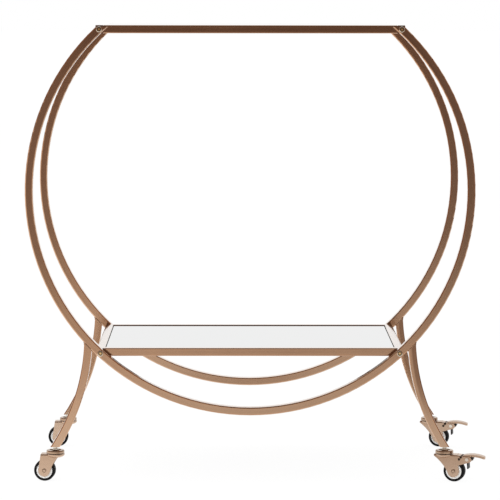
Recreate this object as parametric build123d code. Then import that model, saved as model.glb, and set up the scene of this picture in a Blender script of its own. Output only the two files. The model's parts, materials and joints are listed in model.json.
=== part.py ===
from build123d import *
import os
from math import cos, radians, sin, sqrt

# A bar cart: two round hoops of rectangular tube hold two mirror trays, one above the other.
# Four curved legs under the hoops end in swivel casters, and the two right casters have brakes.
# Millimetres. +X is to the right, +Y to the back, +Z up, and the floor is at Z = 0.

# Hoops
HOOP_RADIUS = 420.0
HOOP_ABOVE_FLOOR = 125.0
CART_DEPTH = 405.0
TUBE_FACE = 15.0
TUBE_DEPTH = 20.0
TUBE_WALL = 1.5
TUBE_CORNER = 2.0
END_CAP_PLATE = 1.0
END_CAP_PLUG = 2.0

# Trays
TRAY_OFFSET = 302.5
RAIL_SIZE = 15.0
RAIL_WALL = 1.5
RAIL_CORNER = 1.5
MIRROR_THICK = 5.0
TOP_MIRROR_RECESS = 0.0
LOWER_MIRROR_RECESS = 1.4
MIRROR_GAP = 0.8
MIRROR_BEVEL = 0.8
LEDGE_WIDTH = 12.0
LEDGE_THICK = 2.0
PAD_RADIUS = 5.0
PAD_THICK = 1.0
PADS_ALONG_X = 3

# Tray bolts and the inserts in the side rails
BOLT_RADIUS = 3.0
BOLT_HEAD_RADIUS = 5.5
BOLT_HEAD_HEIGHT = 3.2
BOLT_HEAD_ROUND = 1.6
BOLT_HEAD_SHOWS = 0.5
BOLT_SOCKET_FLATS = 4.0
BOLT_SOCKET_DEPTH = 2.0
BOLT_THREAD = 12.0
INSERT_LENGTH = 16.0

# Legs
LEG_JOIN_DROP = 290.0
LEG_TOP_LEAN = 3.4
LEG_FOOT_LEAN = 33.0
FOOT_PLATE = 4.0

# Caster wheel
WHEEL_RADIUS = 20.0
WHEEL_TRAIL = 20.0
TYRE_THICK = 5.0
TYRE_WIDTH = 17.0
TYRE_ROUND = 3.0
HUB_RIM_INSET = 1.0
HUB_RIM_THICK = 2.5
HUB_WEB = 13.0
HUB_BOSS_RADIUS = 7.0
AXLE_RADIUS = 3.0
AXLE_HEAD_RADIUS = 4.2
AXLE_HEAD_HEIGHT = 1.2

# Caster fork
FORK_SIDE_ROOM = 1.0
FORK_HEAD_ROOM = 11.5
FORK_PLATE = 2.0
FORK_BEND = 2.5
FORK_NOSE = 26.5
FORK_TAIL = 9.0
BRAKED_FORK_TAIL = 17.5
FORK_TAIL_HEIGHT = 3.0
FORK_WAIST = 2.2
FORK_BOSS_RADIUS = 11.0
CROWN_RADIUS = 17.5

# Caster swivel
BALL_RADIUS = 2.0
BALL_RING_RADIUS = 11.0
BALL_COUNT = 12
RACE_GAP = 1.6
CAP_RADIUS = 17.0
CAP_HEIGHT = 5.4
CAP_WALL = 1.5
CAP_ROUND = 2.0
CAP_DISH_RADIUS = 11.0
CAP_DISH_DEPTH = 1.0
STEM_RADIUS = 4.0
STEM_HEAD_RADIUS = 6.5
STEM_HEAD_HEIGHT = 2.0
STEM_SHOWS = 3.5
NUT_FLATS = 13.0
NUT_HEIGHT = 4.0

# Brake on the right casters, measured out past the back of the tyre and down from the fork's top
BRAKE_ARM_PAST = 9.0
BRAKE_ARM_DROP = 8.0
BRAKE_ARM_RADIUS = 5.5
BRAKE_ARM_ROOT = 22.5
CROWN_END_PAST = -7.0
PIVOT_PAST = 6.0
PIVOT_DROP = 7.5
PIVOT_RADIUS = 2.0
PIVOT_HEAD_RADIUS = 3.4
PIVOT_HEAD_HEIGHT = 1.0
PEDAL_THICK = 2.0
PEDAL_RIM = 4.2
PEDAL_START_PAST = -2.5
PEDAL_START_DROP = 0.5
PEDAL_CREST_PAST = 13.0
PEDAL_CREST_DROP = -1.7
PEDAL_TIP_PAST = 38.5
PEDAL_TIP_DROP = 2.6
PEDAL_TAPER_PAST = 15.0
PEDAL_TIP_WIDTH = 13.0
PEDAL_TIP_ROUND = 4.0
PEDAL_TRAVEL = 22.0
EAR_THICK = 1.5
EAR_RADIUS = 5.0
EAR_SHARE = 0.42
SHOE_TIP_RADIUS = 1.2
SHOE_BITE_ANGLE = 20.0
SHOE_GAP = 0.4
SPRING_PIN_PAST = -9.0
SPRING_PIN_DROP = 7.8
SPRING_PIN_RADIUS = 1.5
SPRING_THICK = 0.8
SPRING_WIDTH = 8.0
SETTING_HOLE_PAST = -5.6
SETTING_HOLE_DROP = 3.7

# How the casters stand at rest, as the way that each wheel trails
FRONT_LEFT_TURN = 175.0
FRONT_RIGHT_TURN = -18.0
REAR_LEFT_TURN = 180.0
REAR_RIGHT_TURN = -15.0

# Clearances
FIT = 0.05
RUNNING_FIT = 0.08
SIDE_PLAY = 0.3
BOLT_HOLE_PLAY = 0.2

# Places worked out from the sizes above
HOOP_CENTRE_HEIGHT = HOOP_ABOVE_FLOOR + HOOP_RADIUS
FRONT_HOOP_Y = -(CART_DEPTH - TUBE_DEPTH) / 2
TRAY_DEPTH = CART_DEPTH - 2 * TUBE_DEPTH
TRAY_HEIGHTS = {"top": HOOP_CENTRE_HEIGHT + TRAY_OFFSET, "lower": HOOP_CENTRE_HEIGHT - TRAY_OFFSET}
MIRROR_TOPS = {
    "top": TRAY_HEIGHTS["top"] + RAIL_SIZE / 2 - TOP_MIRROR_RECESS,
    "lower": TRAY_HEIGHTS["lower"] + RAIL_SIZE / 2 - LOWER_MIRROR_RECESS,
}
HOOP_TOP = TRAY_HEIGHTS["top"] + BOLT_HEAD_RADIUS - BOLT_HEAD_SHOWS
SIDE_RAIL_X = sqrt((HOOP_RADIUS - TUBE_FACE / 2) ** 2 - TRAY_OFFSET ** 2)
FORK_TOP = 2 * WHEEL_RADIUS + FORK_HEAD_ROOM
FORK_GAP = TYRE_WIDTH + 2 * FORK_SIDE_ROOM
FORK_WIDTH = FORK_GAP + 2 * FORK_PLATE
CROWN_UNDER = FORK_TOP - FORK_PLATE
CAP_BASE = FORK_TOP + RACE_GAP
CAP_TOP = CAP_BASE + CAP_HEIGHT
NUT_BASE = CAP_TOP - CAP_DISH_DEPTH
LEG_END = NUT_BASE + NUT_HEIGHT + STEM_SHOWS
LEG_DROP = HOOP_CENTRE_HEIGHT - LEG_JOIN_DROP - LEG_END
LEG_BEND = LEG_DROP / (sin(radians(LEG_FOOT_LEAN)) - sin(radians(LEG_TOP_LEAN)))
LEG_SPREAD = LEG_BEND * (cos(radians(LEG_TOP_LEAN)) - cos(radians(LEG_FOOT_LEAN)))
LEG_JOIN_X = sqrt(HOOP_RADIUS ** 2 - LEG_JOIN_DROP ** 2)
CASTER_X = LEG_JOIN_X + LEG_SPREAD
AXLE = Vector(WHEEL_TRAIL, WHEEL_RADIUS)
EAR_WIDTH = FORK_GAP - 2 * SIDE_PLAY
SHOE_BARREL_RADIUS = PIVOT_DROP - PEDAL_START_DROP - PEDAL_THICK - FIT

hoop_axis = Axis((0, 0, HOOP_CENTRE_HEIGHT), (0, 1, 0))


def brake_point(past, drop):
    """A point of the brake, in the plane of the fork's side."""
    return Vector(WHEEL_TRAIL + WHEEL_RADIUS + past, FORK_TOP - drop)


ARM_END = brake_point(BRAKE_ARM_PAST, BRAKE_ARM_DROP)
PIVOT = brake_point(PIVOT_PAST, PIVOT_DROP)
SPRING_PIN = brake_point(SPRING_PIN_PAST, SPRING_PIN_DROP)
SETTING_HOLE = brake_point(SETTING_HOLE_PAST, SETTING_HOLE_DROP)


def tube_bore(width, depth, corner, wall):
    """The hollow of a rectangular tube, or a plug for it where the wall has a fit added."""
    return RectangleRounded(width - 2 * wall, depth - 2 * wall, max(corner - wall, FIT))


def tube_section(width, depth, corner, wall):
    """A hollow rectangular tube section, wide along local X."""
    return RectangleRounded(width, depth, corner) - tube_bore(width, depth, corner, wall)


def cylinder_y(radius, length, x, z, y=0.0):
    """A round bar along Y, with its middle at x, y, z."""
    return Pos(x, y, z) * Rot(90, 0, 0) * Cylinder(radius, length)


def plate_xz(outline, width):
    """A plate that is thick along Y, from an outline of X and Z, centred on Y = 0."""
    return extrude(Plane.XZ * outline, width / 2, both=True)


def polar_point(centre, radius, angle):
    """The point at an angle on a circle, in the plane of an outline."""
    return centre + Vector(radius * cos(radians(angle)), radius * sin(radians(angle)))


# Hoops

def ring(section, y):
    """A section turned once round the hoop's centre."""
    return revolve(Pos(HOOP_RADIUS - TUBE_FACE / 2, y, HOOP_CENTRE_HEIGHT) * section, hoop_axis)


def bolt_places(y):
    """The four bolt axes of one hoop, at the ends of the side rails."""
    return [Pos(side * SIDE_RAIL_X, y, z) for z in TRAY_HEIGHTS.values() for side in (-1, 1)]


def bolt_holes(y):
    """Bars as wide as the bolt holes, through one hoop."""
    bar = Rot(90, 0, 0) * Cylinder(BOLT_RADIUS + BOLT_HOLE_PLAY, 2 * TUBE_DEPTH)
    return [place * bar for place in bolt_places(y)]


def hoop(y):
    """A hoop of bent tube, cut off flat below its end caps, with its bolt holes."""
    tube = ring(tube_section(TUBE_FACE, TUBE_DEPTH, TUBE_CORNER, TUBE_WALL), y)
    tube = split(tube, Plane.XY.offset(HOOP_TOP - END_CAP_PLATE), Keep.BOTTOM)
    return tube - bolt_holes(y)


def hoop_end_caps():
    """Caps on the four cut ends: a plate flush with the tube and a plug inside it."""
    plate_zone = Pos(0, 0, HOOP_TOP - END_CAP_PLATE / 2) * Box(2 * HOOP_RADIUS, CART_DEPTH, END_CAP_PLATE)
    plug_middle = HOOP_TOP - END_CAP_PLATE - END_CAP_PLUG / 2
    plug_zone = Pos(0, 0, plug_middle) * Box(2 * HOOP_RADIUS, CART_DEPTH, END_CAP_PLUG)
    caps = []
    for y in (FRONT_HOOP_Y, -FRONT_HOOP_Y):
        plates = ring(RectangleRounded(TUBE_FACE, TUBE_DEPTH, TUBE_CORNER), y) & plate_zone
        plugs = ring(tube_bore(TUBE_FACE, TUBE_DEPTH, TUBE_CORNER, TUBE_WALL + FIT), y) & plug_zone
        both_caps = plates + plugs - bolt_holes(y)
        caps += [split(both_caps, Plane.YZ, side) for side in (Keep.TOP, Keep.BOTTOM)]
    return caps


# Trays

def rail_tube(length):
    """A square tube along local Z."""
    return extrude(tube_section(RAIL_SIZE, RAIL_SIZE, RAIL_CORNER, RAIL_WALL), length / 2, both=True)


def tray_rails(height):
    """Side rails from hoop to hoop, with front and rear rails between them."""
    side_rail = Rot(90, 0, 0) * rail_tube(TRAY_DEPTH)
    cross_rail = Rot(0, 90, 0) * rail_tube(2 * SIDE_RAIL_X - RAIL_SIZE)
    cross_y = (TRAY_DEPTH - RAIL_SIZE) / 2
    return {
        "front_rail": Pos(0, -cross_y, height) * cross_rail,
        "rear_rail": Pos(0, cross_y, height) * cross_rail,
        "left_rail": Pos(-SIDE_RAIL_X, 0, height) * side_rail,
        "right_rail": Pos(SIDE_RAIL_X, 0, height) * side_rail,
    }


TRAY_INSIDE_X = 2 * SIDE_RAIL_X - RAIL_SIZE
TRAY_INSIDE_Y = TRAY_DEPTH - 2 * RAIL_SIZE
LEDGE_DROP = MIRROR_THICK + PAD_THICK


def mirror(mirror_top):
    """The glass panel inside the rails, with its upper edges taken off."""
    panel = Box(TRAY_INSIDE_X - 2 * MIRROR_GAP, TRAY_INSIDE_Y - 2 * MIRROR_GAP, MIRROR_THICK)
    panel = chamfer(panel.edges().group_by(Axis.Z)[-1], MIRROR_BEVEL)
    return Pos(0, 0, mirror_top - MIRROR_THICK / 2) * panel


def ledges(mirror_top):
    """Flat strips along the inside of the rails, which carry the pads and the mirror."""
    z = mirror_top - LEDGE_DROP - LEDGE_THICK / 2
    long_strip = Box(TRAY_INSIDE_X, LEDGE_WIDTH, LEDGE_THICK)
    short_strip = Box(LEDGE_WIDTH, TRAY_INSIDE_Y - 2 * LEDGE_WIDTH, LEDGE_THICK)
    x = (TRAY_INSIDE_X - LEDGE_WIDTH) / 2
    y = (TRAY_INSIDE_Y - LEDGE_WIDTH) / 2
    strips = [Pos(0, side * y, z) * long_strip for side in (-1, 1)]
    return strips + [Pos(side * x, 0, z) * short_strip for side in (-1, 1)]


def mirror_pads(mirror_top):
    """Soft round pads between the ledges and the mirror."""
    spacing = (TRAY_INSIDE_X - LEDGE_WIDTH) / (PADS_ALONG_X - 1)
    grid = GridLocations(spacing, TRAY_INSIDE_Y - LEDGE_WIDTH, PADS_ALONG_X, 2)
    pad = Cylinder(PAD_RADIUS, PAD_THICK)
    return [Pos(0, 0, mirror_top - MIRROR_THICK - PAD_THICK / 2) * spot * pad for spot in grid]


def tray_bolt():
    """A round head bolt along -Z, with its head's seat at Z = 0 and a hexagon socket."""
    head = extrude(Circle(BOLT_HEAD_RADIUS), BOLT_HEAD_HEIGHT)
    head = fillet(head.edges().group_by(Axis.Z)[-1], BOLT_HEAD_ROUND)
    socket = RegularPolygon(BOLT_SOCKET_FLATS / 2, 6, major_radius=False)
    head -= Pos(0, 0, BOLT_HEAD_HEIGHT) * extrude(socket, -BOLT_SOCKET_DEPTH)
    return head + extrude(Circle(BOLT_RADIUS), -(TUBE_DEPTH + BOLT_THREAD))


def rail_insert():
    """A threaded plug in a side rail's end, along -Z from the end at Z = 0."""
    outline = tube_bore(RAIL_SIZE, RAIL_SIZE, RAIL_CORNER, RAIL_WALL + FIT)
    return extrude(outline - Circle(BOLT_RADIUS + FIT), -INSERT_LENGTH)


def tray_fasteners(piece, y):
    """One piece at each of the eight bolts, pointing into the tray from front and back."""
    front = [place * Rot(90, 0, 0) * piece for place in bolt_places(-y)]
    return front + [place * Rot(-90, 0, 0) * piece for place in bolt_places(y)]


# Legs

def leg_solid(section):
    """A section swept down the front right leg's bend, past both of its ends."""
    lean = Vector(sin(radians(LEG_TOP_LEAN)), 0, -cos(radians(LEG_TOP_LEAN)))
    foot_lean = Vector(sin(radians(LEG_FOOT_LEAN)), 0, -cos(radians(LEG_FOOT_LEAN)))
    join = Vector(LEG_JOIN_X, FRONT_HOOP_Y, HOOP_CENTRE_HEIGHT - LEG_JOIN_DROP)
    foot = Vector(CASTER_X, FRONT_HOOP_Y, LEG_END)
    start = join - lean * 2 * TUBE_FACE
    bend = TangentArc(join, foot, tangent=lean)
    path = Curve() + [Line(start, join), bend, Line(foot, foot + foot_lean * TUBE_FACE)]
    return sweep(Plane(start, x_dir=(0, 1, 0), z_dir=lean) * section, path)


def corner_copies(front_right):
    """The front right piece and its mirror images at the other three corners."""
    right = {"front_right": front_right, "rear_right": front_right.mirror(Plane.XZ)}
    left = {name.replace("right", "left"): piece.mirror(Plane.YZ) for name, piece in right.items()}
    return right | left


def leg_and_foot_plate():
    """The front right leg, coped to the hoop and cut level at its foot, and the plate inside it."""
    core = leg_solid(tube_bore(TUBE_DEPTH, TUBE_FACE, TUBE_CORNER, TUBE_WALL))
    plate_core = leg_solid(tube_bore(TUBE_DEPTH, TUBE_FACE, TUBE_CORNER, TUBE_WALL + FIT))
    leg = leg_solid(RectangleRounded(TUBE_DEPTH, TUBE_FACE, TUBE_CORNER)) - core
    leg = split(leg, Plane.XY.offset(LEG_END), Keep.TOP)
    leg -= cylinder_y(HOOP_RADIUS + FIT, CART_DEPTH + TUBE_DEPTH, 0, HOOP_CENTRE_HEIGHT)
    stem_place = Pos(CASTER_X, FRONT_HOOP_Y, LEG_END)
    hole = stem_place * Cylinder(STEM_RADIUS + FIT, 2 * FOOT_PLATE + 2 * FIT)
    zone = stem_place * Pos(0, 0, FOOT_PLATE / 2) * Box(4 * TUBE_FACE, 2 * TUBE_DEPTH, FOOT_PLATE)
    return leg - hole, (plate_core & zone) - hole


# Caster pieces, each about its swivel axis with the wheel trailing along +X

def stem():
    """The stem: a rivet head under the fork, a plain shank and a thread up into the leg."""
    head_top = CROWN_UNDER - SIDE_PLAY
    shank = extrude(Pos(0, 0, head_top) * Circle(STEM_RADIUS), LEG_END + FOOT_PLATE - head_top)
    head = extrude(Pos(0, 0, head_top) * Circle(STEM_HEAD_RADIUS), -STEM_HEAD_HEIGHT)
    return shank + head


def swivel_cap():
    """The pressed cap over the balls, dished under the nut."""
    cap = extrude(Pos(0, 0, CAP_BASE) * Circle(CAP_RADIUS), CAP_HEIGHT)
    cap = fillet(cap.edges().group_by(Axis.Z)[-1], CAP_ROUND)
    race_top = FORK_TOP + 2 * (BALL_RADIUS + RUNNING_FIT)
    cap -= extrude(Pos(0, 0, CAP_BASE) * Circle(CAP_RADIUS - CAP_WALL), race_top - CAP_BASE)
    cap -= extrude(Pos(0, 0, CAP_TOP) * Circle(CAP_DISH_RADIUS), -CAP_DISH_DEPTH)
    return cap - extrude(Pos(0, 0, CAP_BASE) * Circle(STEM_RADIUS + FIT), CAP_HEIGHT)


def stem_nut():
    """The thin nut that holds the cap."""
    outline = RegularPolygon(NUT_FLATS / 2, 6, major_radius=False) - Circle(STEM_RADIUS + FIT)
    return extrude(Pos(0, 0, NUT_BASE) * outline, NUT_HEIGHT)


def balls():
    """The ring of balls between the fork and the cap."""
    ring_plane = Pos(0, 0, FORK_TOP + BALL_RADIUS + RUNNING_FIT)
    spots = PolarLocations(BALL_RING_RADIUS, BALL_COUNT)
    return [ring_plane * spot * Sphere(BALL_RADIUS) for spot in spots]


def fork_outline(tail):
    """The side of a fork: a flat top, a straight nose, a round boss and a waisted tail."""
    tail_top = Vector(-tail, FORK_TOP)
    tail_foot = Vector(-tail, FORK_TOP - FORK_TAIL_HEIGHT)
    nose = Vector(FORK_NOSE, FORK_TOP)
    boss_front = polar_point(AXLE, FORK_BOSS_RADIUS, 10)
    boss_foot = polar_point(AXLE, FORK_BOSS_RADIUS, -90)
    boss_back = polar_point(AXLE, FORK_BOSS_RADIUS, 188)
    edges = [
        Line(tail_top, nose),
        Line(nose, boss_front),
        ThreePointArc(boss_front, boss_foot, boss_back),
        SagittaArc(boss_back, tail_foot, -FORK_WAIST),
        Line(tail_foot, tail_top),
    ]
    return make_face(Curve() + edges)


def brake_arm_outline():
    """The side arm that carries the pedal: a round end joined to the fork's upper half."""
    end = Pos(ARM_END.X, ARM_END.Y) * Circle(BRAKE_ARM_RADIUS)
    root = Line((WHEEL_TRAIL, FORK_TOP - BRAKE_ARM_ROOT), (WHEEL_TRAIL, FORK_TOP))
    return make_hull(end.edges() + root.edges())


def fork(braked):
    """A fork bent from plate, with a round crown over the swivel."""
    outline = fork_outline(BRAKED_FORK_TAIL if braked else FORK_TAIL)
    if braked:
        outline += brake_arm_outline()
    channel = plate_xz(outline, FORK_WIDTH)
    bends = channel.edges().filter_by(Axis.X).group_by(Axis.Z)[-1]
    channel = fillet(bends, FORK_BEND)
    inside = Box(4 * ARM_END.X, FORK_GAP, CROWN_UNDER, align=(Align.CENTER, Align.CENTER, Align.MIN))
    channel -= inside
    if braked:
        crown_end = brake_point(CROWN_END_PAST, 0)
        pedal_room = Box(ARM_END.X, FORK_GAP, FORK_TOP, align=(Align.MIN, Align.CENTER, Align.CENTER))
        channel -= Pos(crown_end.X, 0, crown_end.Y) * pedal_room
        channel -= cylinder_y(PIVOT_RADIUS + FIT, 2 * FORK_WIDTH, PIVOT.X, PIVOT.Y)
        for hole in (SPRING_PIN, SETTING_HOLE):
            channel -= cylinder_y(SPRING_PIN_RADIUS + FIT, 2 * FORK_WIDTH, hole.X, hole.Y)
    crown = extrude(Pos(0, 0, FORK_TOP) * Circle(CROWN_RADIUS), -FORK_PLATE)
    body = channel + crown
    body -= Pos(0, 0, FORK_TOP) * Cylinder(STEM_RADIUS + RUNNING_FIT, 4 * FORK_PLATE)
    return body - cylinder_y(AXLE_RADIUS + FIT, 2 * FORK_WIDTH, AXLE.X, AXLE.Y)


def headed_pin(radius, head_radius, head_height, place):
    """A rivet across the fork, with a rounded head on each side."""
    pin = cylinder_y(radius, FORK_WIDTH, place.X, place.Y)
    head = extrude(Circle(head_radius), head_height)
    head = fillet(head.edges().group_by(Axis.Z)[-1], head_height / 2)
    front = Pos(place.X, -FORK_WIDTH / 2, place.Y) * Rot(90, 0, 0) * head
    return pin + front + front.mirror(Plane.XZ)


def hub():
    """The wheel's hub: a rim, a thinner web and a boss that runs on the axle."""
    outer = WHEEL_RADIUS - TYRE_THICK
    rim_width = TYRE_WIDTH - 2 * HUB_RIM_INSET
    rim = cylinder_y(outer, rim_width, AXLE.X, AXLE.Y)
    rim -= cylinder_y(outer - HUB_RIM_THICK, rim_width, AXLE.X, AXLE.Y)
    web = cylinder_y(outer - HUB_RIM_THICK, HUB_WEB, AXLE.X, AXLE.Y)
    boss = cylinder_y(HUB_BOSS_RADIUS, FORK_GAP - 2 * SIDE_PLAY, AXLE.X, AXLE.Y)
    return rim + web + boss - cylinder_y(AXLE_RADIUS + RUNNING_FIT, FORK_GAP, AXLE.X, AXLE.Y)


def tyre():
    """The tyre, with rounded shoulders."""
    ring_part = Cylinder(WHEEL_RADIUS, TYRE_WIDTH) - Cylinder(WHEEL_RADIUS - TYRE_THICK + FIT, TYRE_WIDTH)
    shoulders = ring_part.edges().filter_by(GeomType.CIRCLE).sort_by(SortBy.RADIUS)[-2:]
    return Pos(AXLE.X, 0, AXLE.Y) * Rot(90, 0, 0) * fillet(shoulders, TYRE_ROUND)


def pedal_curve(below):
    """The three points of the pedal's arched line, a distance below its top face."""
    return [
        brake_point(PEDAL_START_PAST, PEDAL_START_DROP + below),
        brake_point(PEDAL_CREST_PAST, PEDAL_CREST_DROP + below),
        brake_point(PEDAL_TIP_PAST, PEDAL_TIP_DROP + below),
    ]


def pedal_layer(depth):
    """All that lies between the pedal's arched top face and the same arch, a depth below it."""
    top = pedal_curve(0)
    under = pedal_curve(depth)
    edges = [
        ThreePointArc(*top),
        Line(top[2], under[2]),
        ThreePointArc(*under[::-1]),
        Line(under[0], top[0]),
    ]
    return plate_xz(make_face(Curve() + edges), EAR_WIDTH)


def brake_pedal():
    """The pedal: an arched plate that tapers past the fork to a rimmed tip, with two ears on the pivot."""
    start = brake_point(PEDAL_START_PAST, 0).X
    taper = brake_point(PEDAL_TAPER_PAST, 0).X
    tip = brake_point(PEDAL_TIP_PAST, 0).X
    half_neck, half_tip = EAR_WIDTH / 2, PEDAL_TIP_WIDTH / 2
    plan = Polygon(
        (start, -half_neck),
        (taper, -half_neck),
        (tip, -half_tip),
        (tip, half_tip),
        (taper, half_neck),
        (start, half_neck),
        align=None,
    )
    plan = fillet(plan.vertices().group_by(Axis.X)[-1], PEDAL_TIP_ROUND)
    rim_plan = plan - offset(plan, -EAR_THICK)
    rim_plan -= Pos(start, 0) * Rectangle(2 * (taper - start), 2 * EAR_WIDTH)
    plate = pedal_layer(PEDAL_THICK) & extrude(plan, 2 * FORK_TOP)
    plate += pedal_layer(PEDAL_RIM) & extrude(rim_plan, 2 * FORK_TOP)
    under = pedal_curve(PEDAL_THICK)
    ear_top = ThreePointArc(*under).trim(0, EAR_SHARE)
    ear_outline = make_hull((Pos(PIVOT.X, PIVOT.Y) * Circle(EAR_RADIUS)).edges() + ear_top.edges())
    ears = plate_xz(ear_outline, EAR_WIDTH)
    ears -= Box(4 * ARM_END.X, EAR_WIDTH - 2 * EAR_THICK, 4 * FORK_TOP)
    return plate + ears - cylinder_y(PIVOT_RADIUS + RUNNING_FIT, FORK_GAP, PIVOT.X, PIVOT.Y)


def brake_shoe():
    """The shoe on the pedal's pivot. It is drawn as pressed on the tyre, then swung back to rest."""
    tip_radius = WHEEL_RADIUS + SHOE_GAP + SHOE_TIP_RADIUS
    tip = polar_point(AXLE, tip_radius, SHOE_BITE_ANGLE)
    finger_ends = [Pos(end.X, end.Y) * Circle(SHOE_TIP_RADIUS) for end in (PIVOT, tip)]
    finger = make_hull(finger_ends[0].edges() + finger_ends[1].edges())
    outline = Pos(PIVOT.X, PIVOT.Y) * Circle(SHOE_BARREL_RADIUS) + finger
    outline -= Pos(PIVOT.X, PIVOT.Y) * Circle(PIVOT_RADIUS + RUNNING_FIT)
    pressed = plate_xz(outline, EAR_WIDTH - 2 * EAR_THICK - 2 * FIT)
    return pressed.rotate(Axis((PIVOT.X, 0, PIVOT.Y), (0, 1, 0)), -PEDAL_TRAVEL)


def brake_spring():
    """A leaf spring: an eye round its pin and a straight leaf that ends just off the shoe's barrel."""
    eye = Circle(SPRING_PIN_RADIUS + FIT + SPRING_THICK)
    leaf_z = SPRING_PIN.Y + SPRING_PIN_RADIUS + FIT
    leaf_end = PIVOT.X - SHOE_BARREL_RADIUS - SIDE_PLAY
    length = leaf_end - SPRING_PIN.X
    leaf = Pos(SPRING_PIN.X + length / 2, leaf_z + SPRING_THICK / 2) * Rectangle(length, SPRING_THICK)
    outline = Pos(SPRING_PIN.X, SPRING_PIN.Y) * eye + leaf
    outline -= Pos(SPRING_PIN.X, SPRING_PIN.Y) * Circle(SPRING_PIN_RADIUS + FIT)
    return plate_xz(outline, SPRING_WIDTH)


def brake_pins():
    """The pedal's pivot rivet and the spring's plain pin, which ends inside the fork's plates."""
    pivot = headed_pin(PIVOT_RADIUS, PIVOT_HEAD_RADIUS, PIVOT_HEAD_HEIGHT, PIVOT)
    return [pivot, cylinder_y(SPRING_PIN_RADIUS, FORK_WIDTH - FORK_PLATE, SPRING_PIN.X, SPRING_PIN.Y)]


# All nodes by name

nodes = {
    "front_hoop": hoop(FRONT_HOOP_Y),
    "rear_hoop": hoop(-FRONT_HOOP_Y),
    "hoop_end_caps": hoop_end_caps(),
    "tray_bolts": tray_fasteners(tray_bolt(), CART_DEPTH / 2),
    "rail_inserts": tray_fasteners(rail_insert(), TRAY_DEPTH / 2),
    "mirror_pads": [],
}

for tray, height in TRAY_HEIGHTS.items():
    for rail, shape in tray_rails(height).items():
        nodes[f"{tray}_tray_{rail}"] = shape
    nodes[f"{tray}_mirror"] = mirror(MIRROR_TOPS[tray])
    nodes[f"{tray}_tray_ledges"] = ledges(MIRROR_TOPS[tray])
    nodes["mirror_pads"] += mirror_pads(MIRROR_TOPS[tray])

leg, foot_plate = leg_and_foot_plate()
for corner, shape in corner_copies(leg).items():
    nodes[f"{corner}_leg"] = shape
nodes["leg_foot_plates"] = list(corner_copies(foot_plate).values())

CASTERS = {
    "front_left": Pos(-CASTER_X, FRONT_HOOP_Y, 0) * Rot(0, 0, FRONT_LEFT_TURN),
    "front_right": Pos(CASTER_X, FRONT_HOOP_Y, 0) * Rot(0, 0, FRONT_RIGHT_TURN),
    "rear_left": Pos(-CASTER_X, -FRONT_HOOP_Y, 0) * Rot(0, 0, REAR_LEFT_TURN),
    "rear_right": Pos(CASTER_X, -FRONT_HOOP_Y, 0) * Rot(0, 0, REAR_RIGHT_TURN),
}

nodes["caster_stems"] = [place * stem() for place in CASTERS.values()]
nodes["stem_nuts"] = [place * stem_nut() for place in CASTERS.values()]
for caster, place in CASTERS.items():
    braked = caster.endswith("right")
    nodes[f"{caster}_swivel_cap"] = place * swivel_cap()
    nodes[f"{caster}_balls"] = [place * ball for ball in balls()]
    nodes[f"{caster}_fork"] = place * fork(braked)
    nodes[f"{caster}_axle"] = place * headed_pin(AXLE_RADIUS, AXLE_HEAD_RADIUS, AXLE_HEAD_HEIGHT, AXLE)
    nodes[f"{caster}_hub"] = place * hub()
    nodes[f"{caster}_tyre"] = place * tyre()
    if braked:
        nodes[f"{caster}_brake_pedal"] = place * brake_pedal()
        nodes[f"{caster}_brake_shoe"] = place * brake_shoe()
        nodes[f"{caster}_brake_spring"] = place * brake_spring()
        nodes[f"{caster}_brake_pins"] = [place * pin for pin in brake_pins()]

# The origin is on the floor, below the middle of the whole cart's box.
# The pedals reach past the hoops, so that is a little right of and in front of the hoops' middle.

solids = {name: shape if isinstance(shape, list) else [shape] for name, shape in nodes.items()}
box = Compound([part for group in solids.values() for part in group]).bounding_box()
to_origin = Pos(-box.center().X, -box.center().Y, -box.min.Z)

os.makedirs("parts", exist_ok=True)
for name, group in solids.items():
    placed = [to_origin * part for part in group]
    export_step(placed[0] if len(placed) == 1 else Compound(placed), f"parts/{name}.step")
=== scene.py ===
# %% [markdown]
# # A bar cart on wheels
# The cart was drawn in CAD: two round hoops of bent tube, two mirror trays between them, four curved
# legs and four swivel casters. This lesson loads those parts as they are, in metres, and gives them
# what CAD leaves out: finishes, welds, threads and light. Nothing here moves or reshapes a CAD part.

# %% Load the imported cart
import json
from math import log, radians, sqrt

import bpy
from mathutils import Matrix, Vector


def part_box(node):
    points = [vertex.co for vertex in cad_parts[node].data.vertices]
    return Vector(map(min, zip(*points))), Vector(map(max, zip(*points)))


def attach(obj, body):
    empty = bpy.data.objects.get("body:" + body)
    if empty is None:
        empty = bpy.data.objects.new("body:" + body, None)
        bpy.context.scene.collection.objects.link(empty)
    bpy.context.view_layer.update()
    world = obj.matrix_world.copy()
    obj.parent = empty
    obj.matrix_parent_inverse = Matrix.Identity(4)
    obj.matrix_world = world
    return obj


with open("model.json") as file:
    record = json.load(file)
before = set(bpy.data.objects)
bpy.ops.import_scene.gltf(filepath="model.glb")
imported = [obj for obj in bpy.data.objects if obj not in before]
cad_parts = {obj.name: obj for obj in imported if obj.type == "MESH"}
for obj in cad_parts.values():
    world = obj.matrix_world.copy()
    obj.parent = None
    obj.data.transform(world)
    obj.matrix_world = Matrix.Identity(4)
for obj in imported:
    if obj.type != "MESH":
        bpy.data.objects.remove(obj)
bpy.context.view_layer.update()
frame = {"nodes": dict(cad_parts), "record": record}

nodes = frame["nodes"]

# %% [markdown]
# ## The camera
# The photograph was taken from about five metres away with a long lens, a little above the top tray,
# which shows as a thin line. A long lens far away keeps the two hoops almost the same size. The camera
# is placed from the middle between the hoops, because the pedals shift the middle of the whole cart.

# %% Camera
SENSOR = 36.0
LENS = 189.8
LEFT_OF_MIDDLE = 0.0293
BEFORE_MIDDLE = 5.0981
EYE_HEIGHT = 0.9122
LOOK_DOWN = 5.54
ROLL = -0.06
TURN = -0.332


def low_high(box):
    """A box's lowest and highest corner, as vectors."""
    return [Vector(corner) for corner in box]


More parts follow.
